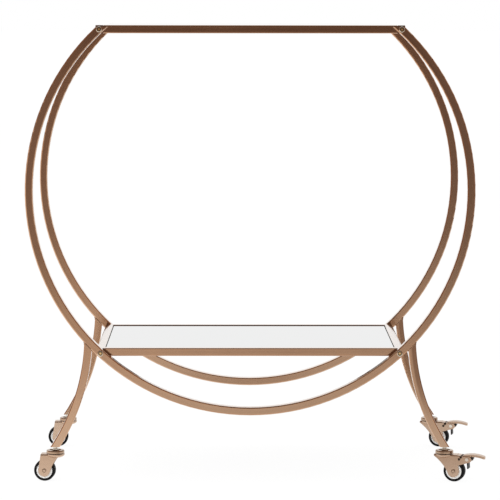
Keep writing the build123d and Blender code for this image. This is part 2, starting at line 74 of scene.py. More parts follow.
hoop_low, hoop_high = low_high(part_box("front_hoop"))
rear_high = Vector(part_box("rear_hoop")[1])
MIDDLE = (hoop_low + rear_high) / 2
camera_data = bpy.data.cameras.new("camera")
camera_data.sensor_width = SENSOR
camera_data.lens = LENS
camera = bpy.data.objects.new("camera", camera_data)
camera.location = (MIDDLE.x - LEFT_OF_MIDDLE, MIDDLE.y - BEFORE_MIDDLE, EYE_HEIGHT)
camera.rotation_euler = (radians(90 - LOOK_DOWN), radians(ROLL), radians(TURN))
bpy.context.scene.collection.objects.link(camera)
bpy.context.scene.camera = camera
print("camera at", tuple(camera.location))

# %% [markdown]
# ## Shader sums in Python
# A finish is a small graph of nodes. Wiring it by hand takes a dozen lines for one sum, so this class
# wraps an output socket and lets Python's own operators add the Math nodes. Every other node comes
# from one method, which takes the node's type, its settings and what goes into its sockets.


# %% A socket with arithmetic
class Wire:
    """An output socket of a node tree. Sums of wires and numbers add Math nodes to the tree."""

    def __init__(self, tree, socket=None):
        self.tree = tree
        self.socket = socket

    def node(self, kind, settings=None, inputs=None, out=0):
        """Adds a node, sets it up, feeds its sockets with values or wires, and returns an output."""
        made = self.tree.nodes.new(kind)
        for name, value in (settings or {}).items():
            if name == "stops":
                ramp = made.color_ramp.elements
                while len(ramp) < len(value):
                    ramp.new(1.0)
                for stop, (position, colour) in zip(ramp, value):
                    stop.position = position
                    stop.color = colour
            else:
                setattr(made, name, value)
        for name, value in (inputs or {}).items():
            if isinstance(value, Wire):
                self.tree.links.new(value.socket, made.inputs[name])
            else:
                made.inputs[name].default_value = value
        return Wire(self.tree, made.outputs[out] if made.outputs else None)

    def math(self, operation, first, second=0.0):
        return self.node("ShaderNodeMath", {"operation": operation}, {0: first, 1: second})

    def __add__(self, other):
        return self.math("ADD", self, other)

    def __sub__(self, other):
        return self.math("SUBTRACT", self, other)

    def __rsub__(self, other):
        return self.math("SUBTRACT", other, self)

    def __mul__(self, other):
        return self.math("MULTIPLY", self, other)

    def __truediv__(self, other):
        return self.math("DIVIDE", self, other)

    def __abs__(self):
        return self.math("ABSOLUTE", self)

    __radd__ = __add__
    __rmul__ = __mul__

    def soft_step(self, low, high):
        """0 below low, 1 above high and a smooth rise between them."""
        inputs = {"Value": self, "From Min": low, "From Max": high}
        return self.node("ShaderNodeMapRange", {"interpolation_type": "SMOOTHSTEP"}, inputs)

    def mix(self, first, second):
        """The first colour where this mask is 0, the second where it is 1."""
        return self.node("ShaderNodeMix", {"data_type": "RGBA"}, {0: self, 6: first, 7: second}, out=2)

    def xyz(self):
        """The three parts of a vector."""
        return [self.node("ShaderNodeSeparateXYZ", None, {0: self}, out=i) for i in range(3)]

    def vector(self, x, y, z):
        return self.node("ShaderNodeCombineXYZ", None, {0: x, 1: y, 2: z})

    def length(self, x, y, z):
        """The length of the vector with these three parts."""
        whole = {0: self.vector(x, y, z)}
        return self.node("ShaderNodeVectorMath", {"operation": "LENGTH"}, whole, out="Value")

    def noise(self, place, scale, detail):
        """Smooth random bumps between 0 and 1."""
        inputs = {"Vector": place, "Scale": scale, "Detail": detail}
        return self.node("ShaderNodeTexNoise", None, inputs)

    def bump(self, height, strength, distance):
        """A normal that makes a height look like relief."""
        inputs = {"Strength": strength, "Distance": distance, "Height": height}
        return self.node("ShaderNodeBump", None, inputs)


print("sockets can be added, multiplied and mixed")


# %% Node trees and materials
def new_tree(owner):
    """An empty node tree for a material or the world, as a wire to start from."""
    owner.use_nodes = True
    owner.node_tree.nodes.clear()
    return Wire(owner.node_tree)


def new_material(name):
    """A material with an empty tree, and the place on the piece in metres."""
    material = bpy.data.materials.new(name)
    tree = new_tree(material)
    return material, tree, tree.node("ShaderNodeTexCoord", out="Object")


def surface(tree, inputs):
    """The shader that a material ends in, with the given sockets set or fed."""
    shader = tree.node("ShaderNodeBsdfPrincipled", None, inputs)
    tree.node("ShaderNodeOutputMaterial", None, {"Surface": shader})


print("shader helpers ready")

# %% [markdown]
# ## The studio
# The cart stands on a white floor in front of a white wall, so the camera sees plain white all round.
# Metal shows what it faces. Its fronts face the room that the camera stands in, which is dark, and the
# floor, which is bright near the cart and fades with distance. That is why the same tube is pale near
# the floor and dark brown at the top. The Light Path node tells those reflections from the camera's
# own view, so no extra light falls on the cart. Mirrors are "singular" rays, and show plain white.


# %% Which rays see what
def ray_kinds(tree, first_bounce):
    """Rays that show the studio as it looks, and those among them that come off satin metal.

    The first bounce off a mirror has depth 1 on an object and 2 in the world.
    """
    names = ("Is Camera Ray", "Is Transmission Ray", "Is Glossy Ray", "Is Singular Ray", "Ray Depth")
    rays = [tree.node("ShaderNodeLightPath", out=name) for name in names]
    camera_ray, glass_ray, glossy_ray, sharp, depth = rays
    straight_off_mirror = sharp * tree.math("LESS_THAN", depth, first_bounce + 0.5)
    seen = (camera_ray + glass_ray + glossy_ray).soft_step(0.0, 1.0)
    return seen, glossy_ray * (1.0 - straight_off_mirror)


print("ray kinds ready")

# %% [markdown]
# ### The floor
# The floor is one large plane. What satin metal sees of it is a ramp of tones over the distance from
# the cart, a little brighter on the left, with the soft shade of the lower tray in front. Real cards
# and flags round the cart could do the same, but a ramp is one list that can be matched to the photo.

# %% Tones of the floor
WHITE = (1.0, 1.0, 1.0, 1.0)
PALE = (0.8, 0.8, 0.8, 1.0)
ROOM = (0.135, 0.073, 0.046, 1.0)
TRAY_SHADE = (0.44, 0.32, 0.24, 1.0)
FLOOR_TONES = {
    0.12: (1.0, 1.0, 0.99, 1.0),
    0.73: (0.77, 0.68, 0.6, 1.0),
    1.95: (0.61, 0.47, 0.37, 1.0),
    3.0: (0.335, 0.24, 0.176, 1.0),
    4.4: (0.235, 0.155, 0.108, 1.0),
    7.3: (0.183, 0.109, 0.073, 1.0),
    12.5: (0.207, 0.121, 0.08, 1.0),
    25.0: (0.195, 0.11, 0.07, 1.0),
    70.0: ROOM,
}
near, far = min(FLOOR_TONES), max(FLOOR_TONES)
stops = [(log(tone / near) / log(far / near), colour) for tone, colour in FLOOR_TONES.items()]
print("floor tones from", near, "to", far, "metres")

# %% Floor
FLOOR_SIZE = 120.0
TONES_FROM = 0.15
SIDEWAYS_SHARE = 0.5
LEFT_FULL, LEFT_NONE = -0.7, 0.15
LEFT_GAIN = 0.36
SHADE_HALF_X, SHADE_HALF_Y, SHADE_Y = 0.36, 0.32, -0.6
SHADE_FADE = 0.2
SHADE_SHARE = 0.8
WHITE_BEHIND = 0.8
GLOW = 1.04
GLOW_SHARE = 0.9

bpy.ops.object.select_all(action="DESELECT")
bpy.ops.mesh.primitive_plane_add(size=FLOOR_SIZE)
floor = bpy.context.object
floor.name = "floor"

floor_material, tree, place = new_material("white_floor")
seen, satin = ray_kinds(tree, 1)
x, y, _ = place.xyz()
reach = tree.length(x * SIDEWAYS_SHARE, y, 0.0)
distance = tree.math("LOGARITHM", (reach - TONES_FROM) / near, far / near)
tones = tree.node("ShaderNodeValToRGB", {"stops": stops}, {0: distance})
gain = (1.0 - x.soft_step(LEFT_FULL, LEFT_NONE)) * LEFT_GAIN + 1.0
tones = tree.node("ShaderNodeVectorMath", {"operation": "SCALE"}, {0: tones, "Scale": gain})
shade_x = (SHADE_HALF_X - abs(x)).soft_step(0.0, SHADE_FADE)
shade_y = (SHADE_HALF_Y - abs(y - SHADE_Y)).soft_step(0.0, SHADE_FADE)
tones = (shade_x * shade_y * SHADE_SHARE).mix(tones, TRAY_SHADE)
fading = satin * (WHITE_BEHIND - y).soft_step(0.0, WHITE_BEHIND)
glow = tree.node("ShaderNodeEmission", None, {"Color": fading.mix(WHITE, tones), "Strength": GLOW})
matt = tree.node("ShaderNodeBsdfDiffuse", None, {"Color": PALE})
blend = tree.node("ShaderNodeMixShader", None, {0: seen * GLOW_SHARE, 1: matt, 2: glow})
tree.node("ShaderNodeOutputMaterial", None, {"Surface": blend})
floor.data.materials.append(floor_material)
print("floor with", len(stops), "tones")

# %% [markdown]
# ### The sky
# The camera sees white in every direction. Satin metal sees white only behind the cart. Towards the
# camera it sees a dark room, warm at the sides, black higher up and bright again straight above. Each
# range below is the part of a direction where one of these begins and where it is full.

# %% Sky
ROOM_SIDE = (0.3, 0.16, 0.095, 1.0)
ROOM_ABOVE = (0.03, 0.028, 0.03, 1.0)
CEILING = (0.62, 0.52, 0.45, 1.0)
AMBIENT = (0.9, 0.9, 0.91, 1.0)
WHITE_AHEAD = (0.25, 0.7)
BLACK_ABOVE = (0.05, 0.5)
WARM_ASIDE = (0.15, 0.7)
BRIGHT_OVERHEAD = (0.8, 0.95)

world = bpy.data.worlds.new("studio")
bpy.context.scene.world = world
tree = new_tree(world)
across, ahead, up = tree.node("ShaderNodeTexCoord", out="Generated").xyz()
seen, satin = ray_kinds(tree, 2)
behind = ahead.soft_step(*WHITE_AHEAD)
room = up.soft_step(*BLACK_ABOVE).mix(ROOM, ROOM_ABOVE)
room = abs(across).soft_step(*WARM_ASIDE).mix(room, ROOM_SIDE)
room = up.soft_step(*BRIGHT_OVERHEAD).mix(room, CEILING)
sky = seen.mix(AMBIENT, (satin * (1.0 - behind)).mix(WHITE, room))
background = tree.node("ShaderNodeBackground", None, {"Color": sky, "Strength": 1.0})
tree.node("ShaderNodeOutputWorld", None, {"Surface": background})
bpy.context.scene.view_settings.view_transform = "Standard"
print("sky:", world.name)

# %% [markdown]
# ### The lamps
# Three large soft boxes at a plain level add a little shape to the black and white plastic. They don't
# show in the metal, which already reflects the studio.


# %% Lamps
def soft_box(name, place, aim, size, watts):
    """A square area lamp that points at a spot on the cart, and that metal doesn't show."""
    lamp = bpy.data.lights.new(name, "AREA")
    lamp.size = size
    lamp.energy = watts
    holder = bpy.data.objects.new(name, lamp)
    holder.location = place
    holder.rotation_euler = (Vector(aim) - Vector(place)).to_track_quat("-Z", "Y").to_euler()
    holder.visible_glossy = False
    bpy.context.scene.collection.objects.link(holder)
    print("lamp:", name)


soft_box("top_light", place=(-0.6, 0.4, 3.2), aim=(0, 0, 0.4), size=2.2, watts=24)
soft_box("side_light", place=(-2.4, -1.8, 1.6), aim=(0, 0, 0.2), size=1.6, watts=20)
soft_box("front_light", place=(0.6, -4.2, 1.0), aim=(0, 0, 0.2), size=1.5, watts=45)

# %% [markdown]
# ## The rose metal finish
# The tubes have a satin copper tone. They were polished lengthwise before they were plated, so fine
# streaks run along each tube. The streaks are one noise, squeezed across the tube and drawn out along
# it. "Along" differs from piece to piece: round a hoop it is the angle about the hoop's centre, down a
# leg the angle about the leg's bend. Each function below turns the Object coordinates into three
# distances: along a piece, across its face from the middle, and through it.

# %% Round the hoops and down the legs
HALF_TUBE = 0.0075
LEG_BEND = Vector((0.6947, 0.0, 0.2782))
LEG_BEND_RADIUS = 0.3916
hoop_radius = (hoop_high.x - hoop_low.x) / 2
HOOP_CENTRE = Vector((MIDDLE.x, 0, hoop_low.z + hoop_radius))


def round_hoop(place):
    """Follows a hoop."""
    x, y, z = place.xyz()
    dx = x - HOOP_CENTRE.x
    dz = z - HOOP_CENTRE.z
    angle = place.math("ARCTAN2", dz, dx)
    return angle * hoop_radius, place.length(dx, 0.0, dz) - (hoop_radius - HALF_TUBE), y


def down_leg(place):
    """Follows a leg's bend, which is an arc about a point outside the leg, the same on both sides."""
    x, y, z = place.xyz()
    dx = abs(x - MIDDLE.x) - LEG_BEND.x
    dz = z - LEG_BEND.z
    angle = place.math("ARCTAN2", dz, dx * -1.0)
    return angle * LEG_BEND_RADIUS, place.length(dx, 0.0, dz) - LEG_BEND_RADIUS, y


print("hoop centre:", tuple(HOOP_CENTRE), "radius:", hoop_radius)


# %% Along straight pieces
def along_rail(height):
    """Follows a front or rear rail whose middle is at a height."""
    def follow(place):
        x, y, z = place.xyz()
        return x, z - height, y
    return follow


def along_x(place):
    """Follows a small piece from left to right."""
    x, y, z = place.xyz()
    return x, z, y


def along_y(place):
    """Follows a piece from front to back."""
    x, y, z = place.xyz()
    return y, x, z


print("every piece can be followed")

# %% [markdown]
# ### Wear and painted shade
# The tubes' edges are rubbed to a redder tone. Two places get painted shade: the outer part of the
# right legs, and the inner edge of the rear rails beside the mirror. Either could be painted by hand,
# but a mask made of soft steps follows the piece at any size.

# %% Painted shade
LEG_SHADE_SHARE = 0.8
LEG_STRIPE = (-0.0005, 0.0035)
LEG_STRIPE_HEIGHTS = (0.1, 0.2)
RIGHT_FADE = 0.01
EDGE_SHADE_BEFORE, EDGE_SHADE_PAST = 0.001, 0.0024
EDGE_SHADE_FADE_IN, EDGE_SHADE_FADE_OUT = 0.0005, 0.0006


def right_leg_painted_shade(place, across):
    """Painted shade: a darker stripe on the outer part of the right legs, which fades out towards the
    casters.
    """
    x, _, z = place.xyz()
    outer_part = 1.0 - across.soft_step(*LEG_STRIPE)
    on_right = (x - MIDDLE.x).soft_step(0.0, RIGHT_FADE)
    return on_right * outer_part * z.soft_step(*LEG_STRIPE_HEIGHTS) * LEG_SHADE_SHARE


def inner_edge_painted_shade(inner_y):
    """Painted shade: a dark line along the inner edge of a rear rail, which lies at a place on the Y
    axis.
    """
    def mask(place, _):
        past_edge = place.xyz()[1] - inner_y
        begins = (past_edge + EDGE_SHADE_BEFORE).soft_step(0.0, EDGE_SHADE_FADE_IN)
        return begins * (EDGE_SHADE_PAST - past_edge).soft_step(0.0, EDGE_SHADE_FADE_OUT)
    return mask


print("tarnish masks ready")

# %% [markdown]
# ### The metal itself
# Four noises share the work. Streaks and bands follow the piece, clouds and speckles don't. Together
# they choose a tone between two close coppers, so the metal never looks painted, and they lift the
# surface a little, so that reflections waver. A clear coat gives the lacquered shine.

# %% Tones and scales of rose metal
ROSE = (0.575, 0.403, 0.282, 1.0)
ROSE_DEEP = (0.465, 0.317, 0.22, 1.0)
ROSE_EDGE = (0.6, 0.375, 0.235, 1.0)
# The colour of painted shade on the right legs and on the rear rails' inner edge.
ROSE_PAINTED_SHADE = (0.24, 0.13, 0.073, 1.0)
STREAKS_ALONG, STREAKS_ACROSS = 12.0, 2400.0
BANDS_ALONG, BANDS_ACROSS = 2.0, 240.0
CLOUDS = 14.0
SPECKLES = 650.0
STREAK_TONE, BAND_TONE, CLOUD_TONE, SPECKLE_TONE = 0.45, 0.15, 0.45, 0.35
TONE_SHIFT = 0.2
TONE_RANGE = (0.25, 0.75)
STREAK_RELIEF, BAND_RELIEF, SPECKLE_RELIEF = 0.2, 0.6, 0.12
STREAK_ROUGH, CLOUD_ROUGH = 0.08, 0.05
WORN_FROM, WORN_FULL = 0.45 * HALF_TUBE + 0.0015, HALF_TUBE + 0.001
WORN_WAVER = 0.003
COAT_ROUGHNESS = 0.04
print("worn edges from", WORN_FROM, "to", WORN_FULL)


# %% Rose metal
def rose_metal(name, follow, roughness, coat=1.0, edges=False, tones=(ROSE_DEEP, ROSE), painted_shade=None):
    """The satin copper finish, with streaks along the way that follow gives."""
    material, tree, place = new_material(name)
    along, across, through = follow(place)
    fine = tree.vector(along * STREAKS_ALONG, across * STREAKS_ACROSS, through * STREAKS_ACROSS)
    wide = tree.vector(along * BANDS_ALONG, across * BANDS_ACROSS, through * BANDS_ACROSS)
    streaks = tree.noise(fine, scale=1.0, detail=3.0)
    bands = tree.noise(wide, scale=1.0, detail=1.0)
    cloud = tree.noise(place, CLOUDS, detail=3.0)
    speckle = tree.noise(place, SPECKLES, detail=2.0)
    tone = streaks * STREAK_TONE + bands * BAND_TONE + cloud * CLOUD_TONE + speckle * SPECKLE_TONE
    colour = (tone - TONE_SHIFT).soft_step(*TONE_RANGE).mix(*tones)
    if edges:
        worn = (abs(across) + bands * WORN_WAVER).soft_step(WORN_FROM, WORN_FULL)
        colour = worn.mix(colour, ROSE_EDGE)
    # A mask, where one is given, mixes in painted shade.
    if painted_shade:
        colour = painted_shade(place, across).mix(colour, ROSE_PAINTED_SHADE)
    relief = streaks * STREAK_RELIEF + bands * BAND_RELIEF + speckle * SPECKLE_RELIEF
    least_rough = roughness - (STREAK_ROUGH + CLOUD_ROUGH) / 2
    surface(tree, {
        "Base Color": colour,
        "Metallic": 1.0,
        "Roughness": streaks * STREAK_ROUGH + cloud * CLOUD_ROUGH + least_rough,
        "Coat Weight": coat,
        "Coat Roughness": COAT_ROUGHNESS,
        "Normal": tree.bump(relief, strength=0.35, distance=0.0002),
    })
    print("made", name)
    return material


# %% [markdown]
# ### Rose metal on the cart
# Hoops, rails and legs share the shiny satin. The casters are duller stamped sheet without lacquer.
# Their tone is paler than the tubes', as painted light for the bright floor they face, and their swivel
# caps are a deeper tone, as painted shade. All of it is one function, called with other values.

# %% Rose metal on hoops, trays and legs
SATIN = 0.13
corners = ["front_left", "front_right", "rear_left", "rear_right"]


def middle(box):
    """The middle of a box."""
    low, high = low_high(box)
    return (low + high) / 2


def finish_nodes(material, names):
    """Puts a material on CAD nodes, in place of their plain colour."""
    for name in names:
        nodes[name].data.materials.clear()
        nodes[name].data.materials.append(material)
    print(material.name, "on", len(names), "nodes")


finish_nodes(rose_metal("rose_hoop", round_hoop, SATIN, edges=True), ["front_hoop", "rear_hoop"])
for tray in ("top", "lower"):
    rail_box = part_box(f"{tray}_tray_rear_rail")
    follow_rail = along_rail(middle(rail_box).z)
    # Painted shade along the rear rail's inner edge, beside the mirror.
    edge_shade = inner_edge_painted_shade(rail_box[0][1])
    rail_metal = rose_metal(f"rose_{tray}_rail", follow_rail, SATIN, edges=True, painted_shade=edge_shade)
    finish_nodes(rail_metal, [f"{tray}_tray_{rail}_rail" for rail in ("front", "rear")])
finish_nodes(rose_metal("rose_side_rail", along_y, SATIN),
             [f"{tray}_tray_{rail}_rail" for tray in ("top", "lower") for rail in ("left", "right")])
finish_nodes(rose_metal("rose_trim", along_x, roughness=0.2),
             ["top_tray_ledges", "lower_tray_ledges", "hoop_end_caps"])
# The right legs get a stripe of painted shade.
finish_nodes(rose_metal("rose_leg", down_leg, roughness=0.14, edges=True, painted_shade=right_leg_painted_shade),
             [f"{corner}_leg" for corner in corners])

# %% Rose metal on the casters
# Painted light: the casters' two tones are paler than the tubes'.
FLOOR_LIT_CASTER_TONES = ((0.525, 0.378, 0.276, 1), (0.59, 0.432, 0.324, 1))
# Painted shade: the swivel caps' two tones are deeper.
SHADED_CAP_TONES = ((0.39, 0.275, 0.195, 1), (0.48, 0.345, 0.25, 1))
braked = ["front_right", "rear_right"]
caster_names = [f"{corner}_{piece}" for corner in corners for piece in ("fork", "axle")]
caster_names += [f"{corner}_brake_pedal" for corner in braked]
floor_lit_caster_metal = rose_metal("rose_caster_painted_light", along_x, roughness=0.28, coat=0.0, tones=FLOOR_LIT_CASTER_TONES)
finish_nodes(floor_lit_caster_metal, caster_names)
shaded_cap_metal = rose_metal("rose_cap_painted_shade", along_x, roughness=0.2, coat=0.0, tones=SHADED_CAP_TONES)
finish_nodes(shaded_cap_metal, [f"{corner}_swivel_cap" for corner in corners])

# %% [markdown]
# ## Plated and plain steel
# The nuts, stems and brake springs are bright zinc, a little grey and mottled. The balls are dark as
# painted shade for the gap between swivel cap and fork, and the inserts and foot plates inside the
# tubes are plain steel. One function makes all three: a fine noise mottles two close colours and the
# roughness.

# %% Steel
MOTTLE = 420.0
MOTTLE_ROUGH = 0.12
EVEN_SPREAD = (0.3, 0.7)


def steel(name, colour, dull, roughness):
    """Steel with a fine mottle between two colours."""
    material, tree, place = new_material(name)
    mottle = tree.noise(place, MOTTLE, detail=3.0)
    surface(tree, {
        "Base Color": mottle.soft_step(*EVEN_SPREAD).mix(dull, colour),
        "Metallic": 1.0,
        "Roughness": mottle * MOTTLE_ROUGH + (roughness - MOTTLE_ROUGH / 2),
        "Normal": tree.bump(mottle, strength=0.08, distance=0.0002),
    })
    return material


bright_zinc = steel("bright_zinc", (0.78, 0.76, 0.7, 1), (0.66, 0.64, 0.58, 1), roughness=0.2)
# The balls' dark colour is painted shade for the gap between swivel cap and fork.
shaded_ball_steel = steel("shaded_ball_steel", (0.1, 0.085, 0.07, 1), (0.06, 0.05, 0.04, 1), roughness=0.3)
plain_steel = steel("plain_steel", (0.45, 0.44, 0.42, 1), (0.36, 0.35, 0.33, 1), roughness=0.45)
brake_springs = [f"{corner}_brake_spring" for corner in braked]
finish_nodes(bright_zinc, ["caster_stems", "stem_nuts"] + brake_springs)
finish_nodes(shaded_ball_steel, [f"{corner}_balls" for corner in corners])
finish_nodes(plain_steel, ["rail_inserts", "leg_foot_plates"])

# %% [markdown]
# ### Tray bolts
# A tray bolt is brass plated and its socket shows gold. The flat ring round it is darkened with painted
# shade, and the rounded rim is lightened with a painted highlight. All eight bolts are one CAD node, so
# the distance from a bolt's axis is found by folding the cart's two mirror planes onto one bolt.

# %% Brass bolts
BOLT_HEAD = 0.0055
SOCKET_EDGE = (0.0019, 0.0023)
RIM_EDGE = (0.0037, 0.0043)
GOLD = (1.0, 0.8, 0.42, 1)
# Painted shade on the flat ring, and a painted highlight on the rounded rim.
SHADED_RING = (0.24, 0.2, 0.14, 1)
HIGHLIT_RIM = (0.78, 0.74, 0.64, 1)
BOLT_GRAIN = 500.0
BOLT_LEAST_ROUGH, BOLT_GRAIN_ROUGH = 0.16, 0.14

bolt_low, bolt_high = low_high(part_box("tray_bolts"))
bolt_middle = (bolt_low + bolt_high) / 2
fold = (bolt_high - bolt_low) / 2 - Vector((BOLT_HEAD, 0, BOLT_HEAD))
bolt_material, tree, place = new_material("brass_bolt")
x, _, z = place.xyz()
radius = tree.length(abs(x - bolt_middle.x) - fold.x, 0.0, abs(z - bolt_middle.z) - fold.z)
grain = tree.noise(place, BOLT_GRAIN, detail=3.0)
# Gold in the socket, then painted shade on the ring and a painted highlight on the rim.
gold_to_shaded_ring = radius.soft_step(*SOCKET_EDGE).mix(GOLD, SHADED_RING)
surface(tree, {
    "Base Color": radius.soft_step(*RIM_EDGE).mix(gold_to_shaded_ring, HIGHLIT_RIM),
    "Metallic": 1.0,
    "Roughness": grain * BOLT_GRAIN_ROUGH + BOLT_LEAST_ROUGH,
    "Normal": tree.bump(grain, strength=0.1, distance=0.0001),
})
finish_nodes(bolt_material, ["tray_bolts"])

# %% [markdown]
# ### Brake pins
# Each braked caster has two pins in one node: a bright rivet that the pedal turns on, and a pin for
# the spring, coloured dark as painted shade for the hole it sits in. The rivet is further from the
# stem, so the distance from the stem tells them apart.
# The two stems stand at equal distances from the middle of the cart, so one fold serves both.

# %% Brake pins
RIVET_FROM_STEM = (0.037, 0.039)
# Painted shade for the hole that the spring pin sits in.
PIN_SHADE = (0.09, 0.065, 0.05, 1)
RIVET_TONES = ((0.72, 0.66, 0.58, 1), (0.84, 0.8, 0.74, 1))
SCUFF = 600.0
PIN_LEAST_ROUGH, SCUFF_ROUGH = 0.15, 0.15

stem = middle(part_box("front_right_swivel_cap"))
pin_material, tree, place = new_material("brake_pin")
x, y, _ = place.xyz()
from_stem = tree.length(x - stem.x, abs(y - MIDDLE.y) - (MIDDLE.y - stem.y), 0.0)
scuff = tree.noise(place, SCUFF, detail=3.0)
surface(tree, {
    "Base Color": from_stem.soft_step(*RIVET_FROM_STEM).mix(PIN_SHADE, scuff.mix(*RIVET_TONES)),
    "Metallic": 1.0,
    "Roughness": scuff * SCUFF_ROUGH + PIN_LEAST_ROUGH,
})
finish_nodes(pin_material, [f"{corner}_brake_pins" for corner in braked])

# %% [markdown]
# ## The mirrors
# A mirror is clear glass over silver, with grey paint at the back and a pale green cut edge. Three
# materials on three sets of faces would do, but the CAD mesh is left as it is, so one material does all
# three: the piece's own normal says which side a point is on.

# %% Mirror
SILVER = (0.865, 0.87, 0.87, 1)
GLASS_EDGE = (0.55, 0.68, 0.62, 1)
BACK_PAINT = (0.16, 0.155, 0.15, 1)
GLASS_TINT = (0.92, 0.92, 0.92, 1.0)
FACING = (0.5, 0.6)
EDGE_ROUGHNESS = 0.35

mirror_material, tree, _ = new_material("silvered_glass")
upward = tree.node("ShaderNodeTexCoord", out="Normal").xyz()[2]
top_side = upward.soft_step(*FACING)
back_side = (0.0 - upward).soft_step(*FACING)
surface(tree, {
    "Base Color": back_side.mix(top_side.mix(GLASS_EDGE, SILVER), BACK_PAINT),
    "Metallic": top_side,
    "Roughness": EDGE_ROUGHNESS - top_side * EDGE_ROUGHNESS,
    "Specular Tint": GLASS_TINT,
})
finish_nodes(mirror_material, ["top_mirror", "lower_mirror"])

# %% [markdown]
# ## Rubber and plastic
# The tyres are black rubber, the hubs off-white plastic, the brake shoes black plastic and the pads
# under the mirrors clear and soft. Moulded pieces have nearly one colour and a fine grain, so one
# function with two close colours, a grain size and a shine covers them.

# %% Pads, tyres, hubs and shoes
MOULD_CLOUDS = 40.0
GRAIN_ROUGH = 0.15


def moulded(name, colour, shade, roughness, grain, shine):
    """Moulded rubber or plastic: nearly one colour, with a fine grain."""
    material, tree, place = new_material(name)
    fine = tree.noise(place, grain, detail=3.0)
    wide = tree.noise(place, MOULD_CLOUDS, detail=2.0)
    surface(tree, {
        "Base Color": wide.soft_step(*EVEN_SPREAD).mix(shade, colour),
        "Roughness": fine * GRAIN_ROUGH + (roughness - GRAIN_ROUGH / 2),
        "Specular IOR Level": shine,
        "Normal": tree.bump(fine, strength=0.1, distance=0.0001),
    })
    return material


tyre_black = moulded("black_tyre", (0.009, 0.0086, 0.0094, 1), (0.006, 0.0058, 0.006, 1),
                     roughness=0.6, grain=900.0, shine=0.1)
hub_white = moulded("white_hub", (0.92, 0.915, 0.89, 1), (0.88, 0.87, 0.84, 1),
                    roughness=0.35, grain=600.0, shine=0.4)
shoe_black = moulded("black_shoe", (0.012, 0.012, 0.013, 1), (0.008, 0.008, 0.009, 1),
                     roughness=0.45, grain=700.0, shine=0.2)
pad_clear = moulded("clear_pad", (0.7, 0.7, 0.67, 1), (0.62, 0.62, 0.59, 1),
                    roughness=0.5, grain=500.0, shine=0.4)
finish_nodes(tyre_black, [f"{corner}_tyre" for corner in corners])
finish_nodes(hub_white, [f"{corner}_hub" for corner in corners])
finish_nodes(shoe_black, [f"{corner}_brake_shoe" for corner in braked])
finish_nodes(pad_clear, ["mirror_pads"])

# %% [markdown]
# ## Modelling helpers
# Every new piece is shaped by Blender's own operators, which act on whatever is selected. The helpers
# deselect everything first, so the CAD parts are never touched. At the end, a piece's place goes into
# its mesh, it takes its finish, and it is hung on the CAD body that it moves with.


# %% Select and edit
def only(piece):
    """Makes one piece the only selected and the active one."""
    bpy.ops.object.select_all(action="DESELECT")
    piece.select_set(True)
    bpy.context.view_layer.objects.active = piece


def edit_all(piece):
    """Opens a piece in edit mode with all of it selected."""
    only(piece)
    bpy.ops.object.mode_set(mode="EDIT")
    bpy.ops.mesh.select_all(action="SELECT")


def edit_end_face(piece, axis):
    """Opens a piece in edit mode with only the face selected that lies furthest along an axis."""
    edit_all(piece)
    bpy.ops.mesh.select_mode(type="FACE")
    bpy.ops.mesh.select_all(action="DESELECT")
    bpy.ops.object.mode_set(mode="OBJECT")
    max(piece.data.polygons, key=lambda face: face.center["xyz".index(axis)]).select = True
    bpy.ops.object.mode_set(mode="EDIT")


def leave_edit(outward=False):
    """Goes back to object mode, after turning all faces outward if asked to."""
    if outward:
        bpy.ops.mesh.select_all(action="SELECT")
        bpy.ops.mesh.normals_make_consistent(inside=False)
    bpy.ops.object.mode_set(mode="OBJECT")


print("editing helpers ready")

# %% Finish and copy
SMOOTH_BELOW = radians(40)


def place_into_mesh(piece):
    """Moves a piece's place, turn and size into its mesh."""
    only(piece)
    bpy.ops.object.transform_apply(location=True, rotation=True, scale=True)


def apply_modifier(piece, kind, **settings):
    """Adds a modifier to a piece and applies it."""
    only(piece)
    modifier = piece.modifiers.new(kind.lower(), kind)
    for name, value in settings.items():
        setattr(modifier, name, value)
    bpy.ops.object.modifier_apply(modifier=modifier.name)


def settle(piece, material, body):
    """Finishes a piece: place into the mesh, smooth shading, material and body."""
    place_into_mesh(piece)
    bpy.ops.object.shade_smooth_by_angle(angle=SMOOTH_BELOW)
    piece.data.materials.clear()
    piece.data.materials.append(material)
    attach(piece, body)


def placed_copy(piece, name, matrix):
    """A copy with its own mesh, moved by a matrix. A mirrored copy is turned right side out again."""
    twin = piece.copy()
    twin.data = piece.data.copy()
    twin.name = name
    twin.data.name = name
    bpy.context.scene.collection.objects.link(twin)
    twin.data.transform(matrix)
    if matrix.determinant() < 0:
        edit_all(twin)
        leave_edit(outward=True)
    return twin


print("modelling helpers ready")

# %% [markdown]
# ## Weld beads
# Each leg is welded to the outside of its hoop. A weld is a row of small puddles of metal that ran into
# each other: a rounded bead in the corner on each side of the leg, and a low one across the faces of
# the tubes, where it was ground down. A swept tube would look too even. Here one puddle is a flattened
# sphere, an Array modifier lays the row, and a Remesh modifier melts the rows into one closed skin.

# %% Where the front right leg meets its hoop
leg_low, leg_high = low_high(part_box("front_right_leg"))
inner_x = leg_low.x
inner_z = HOOP_CENTRE.z - sqrt(hoop_radius ** 2 - (inner_x - HOOP_CENTRE.x) ** 2)
outer_z = leg_high.z
outer_x = HOOP_CENTRE.x + sqrt(hoop_radius ** 2 - (HOOP_CENTRE.z - outer_z) ** 2)
print("weld from", (inner_x, inner_z), "to", (outer_x, outer_z))


# %% One row of puddles
def puddle_row(start, end, size, count):
    """A row of flattened spheres from one point to another."""
    bpy.ops.object.select_all(action="DESELECT")
    bpy.ops.mesh.primitive_uv_sphere_add(segments=16, ring_count=10, radius=1.0, location=start)
    row = bpy.context.object
    edit_all(row)
    bpy.ops.transform.resize(value=size, center_override=start)
    leave_edit()
    step = (Vector(end) - Vector(start)) / (count - 1)
    apply_modifier(row, "ARRAY", count=count, use_relative_offset=False, use_constant_offset=True,
                   constant_offset_displace=step)
    print("row of", count, "puddles")
    return row


